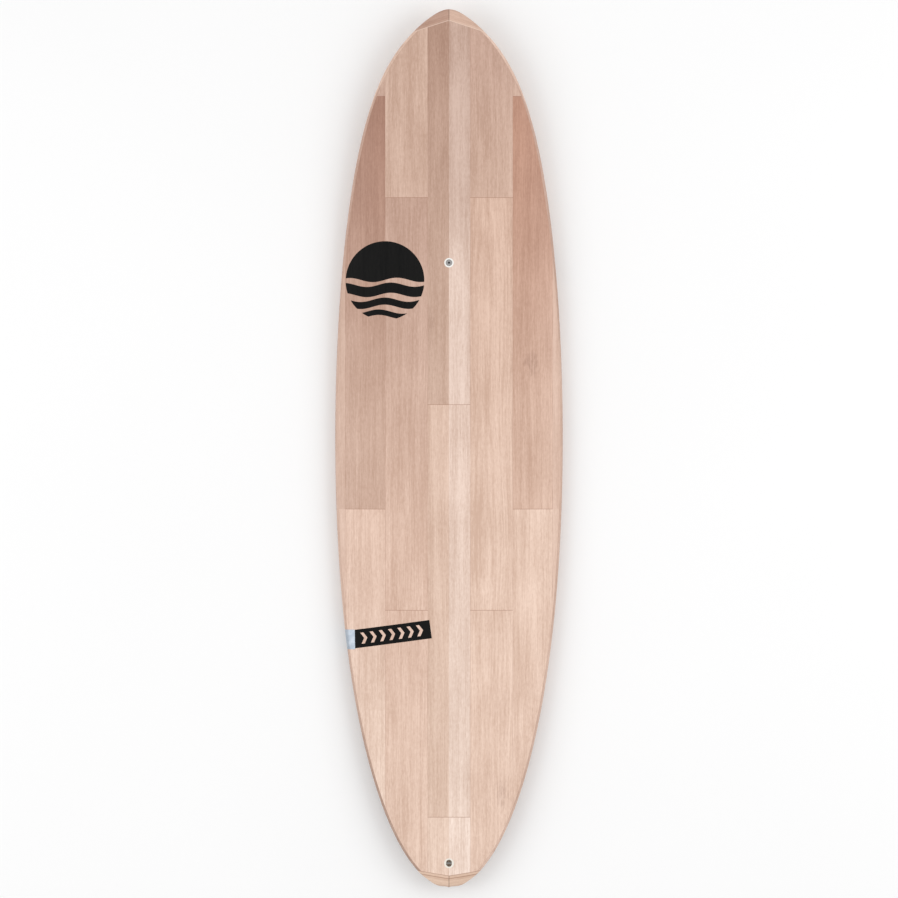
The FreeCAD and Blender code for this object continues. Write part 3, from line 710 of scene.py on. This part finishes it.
def machined(name, dark, pale, centre, face_z=None):
    """Dull turned steel: fine rings round its axis and a little tarnish. A socket below face_z is painted
    dark: painted shade in its hollow."""
    def build(n):
        parts = n.split(n.position())
        x, y, z = parts
        reach = n.hypotenuse(n.subtract(x, centre.x), n.subtract(y, centre.y))
        rings = n.noise(n.vector(n.times(reach, TURNING_MARKS[0]), n.times(z, TURNING_MARKS[1])))
        stain = n.noise(n.scaled(parts, *TARNISH_NOISE), detail=3.0)
        colour = n.mix(n.ramp(stain, *TARNISH_LEVELS, 0.0, TARNISH_SHARE), pale, dark)
        if face_z is not None:
            # Painted shade in the socket below the face.
            sunk = n.ramp(z, face_z - SOCKET_DEPTH[0], face_z - SOCKET_DEPTH[1], 1.0, 0.0)
            inside = n.ramp(reach, SOCKET_REACH - SOCKET_EDGE, SOCKET_REACH, 1.0, 0.0)
            colour = n.mix(n.times(sunk, inside), colour, SOCKET_SHADE_TONE)
        return {
            "Base Color": colour,
            "Metallic": 1.0,
            "Roughness": n.ramp(rings, *FINE_LEVELS, *STEEL_ROUGHNESS),
            "Normal": n.bump(rings, STEEL_RELIEF),
        }
    return material(name, build)


NYLON_ROUGHNESS = 0.42
RUBBER_ROUGHNESS = 0.6
GRUB_DARK = tint(90, 90, 92)
GRUB_PALE = tint(150, 150, 152)
black_plastic = moulded("black_nylon", tint(13, 13, 14), tint(24, 24, 25), NYLON_ROUGHNESS)
for pair in TOE:
    dress("fin_block_" + pair, inlay_material(pair))
    for end in ("front", "rear"):
        tag = "%s_%s" % (pair, end)
        dress("fin_plug_" + tag, black_plastic)
        low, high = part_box("grub_screw_" + tag)
        centre = (low + high) / 2 / MM
        dress("grub_screw_" + tag, machined("grub_%s_steel" % tag, GRUB_DARK, GRUB_PALE, centre))


# ---------------------------------------------------------------- leash cup, vent and core

CUP_CLOUD = 0.3                 # noise scales
CUP_FINE = 1.6
CUP_SHADE = (0.93, 0.93, 0.92)
CUP_SHADE_DEPTH = (2.2, 0.5)          # below the rim, where the painted shade inside is full and where it begins
CUP_ROUGHNESS = (0.32, 0.44)
CUP_RELIEF = 0.02
BEADS_PER_MM = 0.3
BEAD_GAP = 0.12
FOAM_RELIEF = 0.3
FOAM_ROUGHNESS = 0.85


def cup_material(name, rim_z, rim_colour, inside_shade_colour):
    """Ivory plastic outside, with painted shade: a darker inside below the rim."""
    def build(n):
        parts = n.split(n.position())
        cloud = n.noise(n.scaled(parts, CUP_CLOUD, CUP_CLOUD, CUP_CLOUD), detail=3.0)
        fine = n.noise(n.scaled(parts, CUP_FINE, CUP_FINE, CUP_FINE))
        rim = n.mix(n.ramp(cloud, *CLOUD_LEVELS), shade(rim_colour, *CUP_SHADE), rim_colour)
        # Painted shade: a darker colour inside, below the rim.
        depth = n.ramp(parts[2], rim_z - CUP_SHADE_DEPTH[0], rim_z - CUP_SHADE_DEPTH[1], 1.0, 0.0)
        return {
            "Base Color": n.mix(depth, rim, inside_shade_colour),
            "Roughness": n.ramp(fine, *FINE_LEVELS, *CUP_ROUGHNESS),
            "Normal": n.bump(fine, CUP_RELIEF),
        }
    return material(name, build)


def bead_foam(n):
    """Expanded bead foam: packed cells with fine gaps between them."""
    point = n.position()
    cells = n.new("TexVoronoi")
    cells.feature = "DISTANCE_TO_EDGE"
    n.put(cells.inputs["Vector"], point)
    cells.inputs["Scale"].default_value = BEADS_PER_MM
    gap = n.ramp(cells.outputs["Distance"], 0.0, BEAD_GAP)
    return {
        "Base Color": n.mix(gap, tint(214, 212, 205), tint(244, 243, 238)),
        "Roughness": FOAM_ROUGHNESS,
        "Normal": n.bump(gap, FOAM_RELIEF),
    }


leash_low, leash_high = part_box("leash_cup")
vent_low, vent_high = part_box("vent_housing")
leash_middle = (leash_low + leash_high) / 2 / MM
vent_middle = (vent_low + vent_high) / 2 / MM
# The second colour of the leash cup and of the vent housing is painted shade inside them.
dress("leash_cup", cup_material("leash_cup_ivory", leash_high.z / MM,
                                tint(240, 233, 223), tint(214, 200, 184)))
dress("vent_housing", cup_material("vent_white", vent_high.z / MM,
                                   tint(246, 244, 240), tint(150, 148, 144)))
dress("leash_pin", machined("pin_steel", tint(110, 108, 105), tint(165, 163, 160), leash_middle))
screw_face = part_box("vent_screw")[1].z / MM
dress("vent_screw", machined("vent_steel", tint(132, 130, 130), tint(172, 170, 169), vent_middle,
                             screw_face))
dress("vent_seal", moulded("seal_rubber_black", tint(20, 20, 20), tint(30, 30, 30), RUBBER_ROUGHNESS))
dress("foam_core", material("bead_foam", bead_foam))


# ---------------------------------------------------------------- prints on the board

def surface_tree(names):
    """A search tree over the named CAD nodes, in the row frame."""
    points = []
    faces = []
    for name in names:
        mesh = nodes[name].data
        start = len(points)
        points += [vertex.co.copy() for vertex in mesh.vertices]
        faces += [[start + index for index in face.vertices] for face in mesh.polygons]
    return BVHTree.FromPolygons(points, faces)


OUTSIDE = [name for name in nodes if "plank" in name or "block" in name or "rail" in name]
board_surface = surface_tree(OUTSIDE)
PRINT_LIFT = 0.12
PRINT_THICKNESS = 0.1
PRINT_PITCH = 4.0               # distance between the film's inner points
MARK_PITCH = 2.0
STROKE_LIFT = 0.08              # the strokes of a label over its ground
SAME_POINT = 1e-5
# A ray at a seam may miss the board, so it is sent beside the seam too.
NUDGES = [(0.0, 0.0), (0.15, 0.1), (-0.15, 0.1), (0.1, -0.15)]
FAR = 500.0


def on_board(x, y, side):
    """The board's outermost point over (x, y), in millimetres, and its outward direction."""
    way = 1 if side == "deck" else -1
    best = None
    for dx, dy in NUDGES:
        start = Vector((x + dx, y + dy, way * FAR)) * MM
        hit, normal = board_surface.ray_cast(start, Vector((0, 0, -way)))[:2]
        if hit is not None and (best is None or way * hit.z > way * best[0].z):
            best = (hit, normal if normal.z * way > 0 else -normal)
    return best


def print_patch(name, outlines, side, finish, lift=PRINT_LIFT, pitch=PRINT_PITCH):
    """A thin printed film that follows the board. outlines are closed plan shapes, in millimetres."""
    corners = []
    faces = []
    for outline in outlines:
        faces.append(list(range(len(corners), len(corners) + len(outline))))
        corners += [Vector(point) for point in outline]
    low_x = min(corner.x for corner in corners)
    high_x = max(corner.x for corner in corners)
    low_y = min(corner.y for corner in corners)
    high_y = max(corner.y for corner in corners)
    inner = []
    for row in range(1, int((high_y - low_y) / pitch)):
        for column in range(1, int((high_x - low_x) / pitch)):
            inner.append(Vector((low_x + column * pitch, low_y + row * pitch)))
    result = delaunay_2d_cdt(corners + inner, [], faces, 1, SAME_POINT)
    flat_points, flat_faces = result[0], result[2]
    used = sorted({index for face in flat_faces for index in face})
    place = {old: new for new, old in enumerate(used)}
    points = []
    for index in used:
        hit, normal = on_board(flat_points[index].x, flat_points[index].y, side)
        points.append(hit + normal * lift * MM)
    film_faces = [[place[index] for index in face] for face in flat_faces]
    if side == "bottom":
        film_faces = [list(reversed(face)) for face in film_faces]
    film(name, points, film_faces, finish)


def film(name, points, faces, finish):
    """A closed film of print thickness from one layer of faces."""
    mesh = bpy.data.meshes.new(name)
    mesh.from_pydata(points, [], faces)
    mesh.materials.append(finish)
    piece = bpy.data.objects.new(name, mesh)
    scene.collection.objects.link(piece)
    thickness = piece.modifiers.new("film", "SOLIDIFY")
    thickness.thickness = PRINT_THICKNESS * MM
    thickness.offset = -1.0
    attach(piece, "board")


# Places in the figure that the prints show.
INK_SHIFT = (17.0, 5.0, 0.0)
STROKE_SHIFT = (91.0, 33.0, 0.0)
INK_ROUGHNESS = (0.66, 0.54)
INK_GLOSS = 0.12
INK_RELIEF = 0.03
FOIL_LINES = (0.4, 2.2, 0.4)
FOIL_CREASE = (0.08, 0.08, 0.08)
FOIL_METAL = 0.6
FOIL_ROUGHNESS = (0.28, 0.42)
FOIL_RELIEF = 0.01


def ink(n):
    """Black print that has sunk into the grain a little."""
    figure, pores, relief = grain(n, n.position(), INK_SHIFT)
    return {
        "Base Color": n.mix(figure, tint(8, 8, 8), tint(20, 19, 18)),
        "Roughness": n.ramp(relief, 0.0, RELIEF_TOP, *INK_ROUGHNESS),
        "Specular IOR Level": INK_GLOSS,
        "Normal": n.bump(relief, INK_RELIEF),
    }


def reversed_print(n):
    """The wood-coloured strokes of a label."""
    figure, pores, relief = grain(n, n.position(), STROKE_SHIFT)
    colour = wood_colour(n, figure, pores, 0.0, TONES["blush"], TONES["blush"])
    return coated(n, colour, relief)


def foil(n):
    """Silvery blue foil with fine rolled lines."""
    parts = n.split(n.position())
    lines = n.noise(n.scaled(parts, *FOIL_LINES))
    crease = n.noise(n.scaled(parts, *FOIL_CREASE))
    return {
        "Base Color": n.mix(n.ramp(crease, *FINE_LEVELS), tint(160, 171, 183), tint(181, 190, 200)),
        "Metallic": FOIL_METAL,
        "Roughness": n.ramp(lines, *FINE_LEVELS, *FOIL_ROUGHNESS),
        "Normal": n.bump(lines, FOIL_RELIEF),
    }


ink_finish = material("black_ink", ink)
stroke_finish = material("reversed_wood", reversed_print)
foil_finish = material("silver_foil", foil)

RIM_STEP = math.radians(2.5)
WAVE_STEPS = 60
# Foot of the dome, and top and foot of each bar under it, as shares of the radius.
DOME_FOOT = 0.02
BARS = [(-0.10, -0.36), (-0.48, -0.66), (-0.78, -0.92)]
WAVE_HEIGHT = 0.055
WAVE_TURNS = 5.2
WAVE_SHIFT = 0.8
CHORD_STEP = 0.002


def sun_over_swell(centre_x, centre_y, radius):
    """Closed outlines of a disc whose lower part is cut into bars by rolling waves."""
    left = rim_turn(DOME_FOOT, 0, -1) % (2 * math.pi)
    right = rim_turn(DOME_FOOT, 0, 1)
    outlines = [rim(left, right) + list(reversed(wave_edge(DOME_FOOT, 0)))]
    for number, (top, foot) in enumerate(BARS, start=1):
        right_end = rim(rim_turn(top, number, 1), rim_turn(foot, number, 1))
        left_end = rim(rim_turn(foot, number, -1), rim_turn(top, number, -1))
        outlines.append(wave_edge(top, number) + right_end + list(reversed(wave_edge(foot, number)))
                        + left_end)
    return [[(centre_x + radius * x, centre_y + radius * y) for x, y in outline] for outline in outlines]


def wave(x_share, level, number):
    """Height of a wave line, as a share of the radius."""
    return level + WAVE_HEIGHT * math.sin(WAVE_TURNS * x_share + WAVE_SHIFT * number)


def half_chord(level, number, way):
    """Where a wave line meets the disc's rim, found by stepping in from the rim."""
    share = 1.0
    while share > 0 and share ** 2 + wave(way * share, level, number) ** 2 > 1.0:
        share -= CHORD_STEP
    return way * share


def wave_edge(level, number):
    start = half_chord(level, number, -1)
    stop = half_chord(level, number, 1)
    shares = [start + (stop - start) * step / WAVE_STEPS for step in range(WAVE_STEPS + 1)]
    return [(share, wave(share, level, number)) for share in shares]


def rim_turn(level, number, way):
    """Angle on the rim where a wave line ends."""
    share = half_chord(level, number, way)
    return math.atan2(wave(share, level, number), share)


def rim(start, stop):
    """Points of the rim between two angles, without its ends."""
    steps = max(3, round(abs(stop - start) / RIM_STEP))
    turns = [start + (stop - start) * step / steps for step in range(1, steps)]
    return [(math.cos(turn), math.sin(turn)) for turn in turns]


def tilted(centre, turn, corners):
    """Plan points turned about a centre."""
    lean = math.radians(turn)
    return [(centre[0] + x * math.cos(lean) - y * math.sin(lean),
             centre[1] + x * math.sin(lean) + y * math.cos(lean)) for x, y in corners]


BOX_STEPS = 24


def label_box(length, height):
    """Outline of a long box with points along its edges, so that it follows the board."""
    across = [-length / 2 + length * step / BOX_STEPS for step in range(BOX_STEPS + 1)]
    return [(x, -height / 2) for x in across] + [(x, height / 2) for x in reversed(across)]


CHEVRON_START = 0.75            # shares of the chevrons' pitch
CHEVRON_WIDTH = 0.34
CHEVRON_POINT = 0.35
CHEVRON_HEIGHT = 0.3            # share of the label's height, from the middle up


def chevrons(length, height, count):
    """A row of wave-like chevrons inside a label."""
    strokes = []
    pitch = length / (count + 1)
    for number in range(count):
        x = -length / 2 + pitch * (number + CHEVRON_START)
        w = pitch * CHEVRON_WIDTH
        h = height * CHEVRON_HEIGHT
        point = pitch * CHEVRON_POINT
        strokes.append([(x, -h), (x + w, -h), (x + w + point, 0.0), (x + w, h), (x, h), (x + point, 0.0)])
    return strokes


# Side and centre of each sun mark.
SUN_MARKS = [("deck", -156.0, 409.0), ("bottom", 149.0, 432.0)]
SUN_RADIUS = 96.0
for side, centre_x, centre_y in SUN_MARKS:
    print_patch("sun_mark_" + side, sun_over_swell(centre_x, centre_y, SUN_RADIUS), side, ink_finish,
                pitch=MARK_PITCH)

# Side, centre and turn in degrees of each label.
LABELS = [("deck", (-141.0, -451.0), 7.7), ("bottom", (-139.0, -464.5), -1.0)]
LABEL_SIZE = (194.0, 45.0)
STROKES_LENGTH = 0.94 * LABEL_SIZE[0]
STROKES = 7
for side, centre, turn in LABELS:
    box = [tilted(centre, turn, label_box(*LABEL_SIZE))]
    row = chevrons(STROKES_LENGTH, LABEL_SIZE[1], STROKES)
    strokes = [tilted(centre, turn, stroke) for stroke in row]
    print_patch("label_" + side, box, side, ink_finish)
    print_patch("label_strokes_" + side, strokes, side, stroke_finish,
                lift=PRINT_LIFT + STROKE_LIFT)

# A row of small dashes by the left rail on the bottom, near the tail.
DASHES = 7
DASH_START = (-153.0, -834.0)
DASH_RUN = (31.0, -83.0)
DASH_TURN = 70.0
DASH = [(-4.0, -1.0), (4.0, -1.0), (4.0, 1.0), (-4.0, 1.0)]
dashes = []
for step in range(DASHES):
    centre = [start + run * step / DASHES for start, run in zip(DASH_START, DASH_RUN)]
    dashes.append(tilted(centre, DASH_TURN, DASH))
print_patch("dashes_bottom", dashes, "bottom", ink_finish)


# ---------------------------------------------------------------- foil band round the rail

FOIL_LENGTH = (-488.0, -440.0)
FOIL_HUB = (-215.0, 42.0)
FOIL_TURNS = (139.0, 228.0)
FOIL_ROWS = 12
FOIL_COLUMNS = 40


def rail_foil():
    """A band that wraps the left rail between the two labels."""
    points = []
    for row in range(FOIL_ROWS + 1):
        y = FOIL_LENGTH[0] + (FOIL_LENGTH[1] - FOIL_LENGTH[0]) * row / FOIL_ROWS
        hub = Vector((FOIL_HUB[0], y, FOIL_HUB[1])) * MM
        for column in range(FOIL_COLUMNS + 1):
            turned = FOIL_TURNS[0] + (FOIL_TURNS[1] - FOIL_TURNS[0]) * column / FOIL_COLUMNS
            turn = math.radians(turned)
            out = Vector((math.cos(turn), 0, math.sin(turn)))
            hit, normal = board_surface.ray_cast(hub + out * FAR * MM, -out)[:2]
            if normal.dot(out) < 0:
                normal = -normal
            points.append(hit + normal * PRINT_LIFT * MM)
    faces = []
    for row in range(FOIL_ROWS):
        for column in range(FOIL_COLUMNS):
            first = row * (FOIL_COLUMNS + 1) + column
            above = first + FOIL_COLUMNS + 1
            faces.append([first, first + 1, above + 1, above])
    film("rail_foil", points, faces, foil_finish)


rail_foil()


# ---------------------------------------------------------------- floor, light and camera

FLOOR_SIZE = 60.0
FRAME_WIDTH = 2.176
CAMERA_HEIGHT = 9.0
SENSOR = 36.0
FLOOR_CLOUD = 0.001
FLOOR_ROUGHNESS = 0.9
SOFT_BOX_WIDTH = 2.6
SOFT_BOX_SHAPE = 1.4        # length over width
# Name, place and power of the soft boxes.
SOFT_BOXES = [
    ("soft_box_right", (3.4, 0.3, 3.6), 52.0),
    ("soft_box_left", (-3.4, -0.1, 3.6), 46.0),
]
WORLD_STRENGTH = 0.8


def floor_finish(n):
    cloud = n.noise(n.scaled(n.split(n.position()), FLOOR_CLOUD, FLOOR_CLOUD))
    return {
        "Base Color": n.mix(cloud, tint(246, 246, 246), tint(249, 249, 249)),
        "Roughness": FLOOR_ROUGHNESS,
    }


def make_floor():
    mesh = bpy.data.meshes.new("floor")
    half = FLOOR_SIZE / 2
    z = cad_low.z
    mesh.from_pydata([(-half, -half, z), (half, -half, z), (half, half, z), (-half, half, z)], [],
                     [(0, 1, 2, 3)])
    mesh.materials.append(material("pale_floor", floor_finish))
    floor = bpy.data.objects.new("floor", mesh)
    scene.collection.objects.link(floor)


def soft_light(name, place, energy):
    """A large soft box that faces the board."""
    lamp = bpy.data.lights.new(name, "AREA")
    lamp.shape = "RECTANGLE"
    lamp.size = SOFT_BOX_WIDTH
    lamp.size_y = SOFT_BOX_WIDTH * SOFT_BOX_SHAPE
    lamp.energy = energy
    light = bpy.data.objects.new(name, lamp)
    light.location = place
    light.rotation_euler = (-Vector(place)).to_track_quat("-Z", "Y").to_euler()
    scene.collection.objects.link(light)


make_floor()
for name, place, energy in SOFT_BOXES:
    soft_light(name, place, energy)
world = bpy.data.worlds.new("studio")
world.use_nodes = True
background = world.node_tree.nodes["Background"].inputs
background["Color"].default_value = (1.0, 1.0, 1.0, 1.0)
background["Strength"].default_value = WORLD_STRENGTH
scene.world = world
scene.view_settings.view_transform = "Standard"

lens = bpy.data.cameras.new("camera")
lens.sensor_width = SENSOR
lens.lens = SENSOR * (CAMERA_HEIGHT - cad_high.z) / FRAME_WIDTH
lens.clip_end = 100.0
camera = bpy.data.objects.new("camera", lens)
camera.location = (0.0, 0.0, CAMERA_HEIGHT)
scene.collection.objects.link(camera)
scene.camera = camera
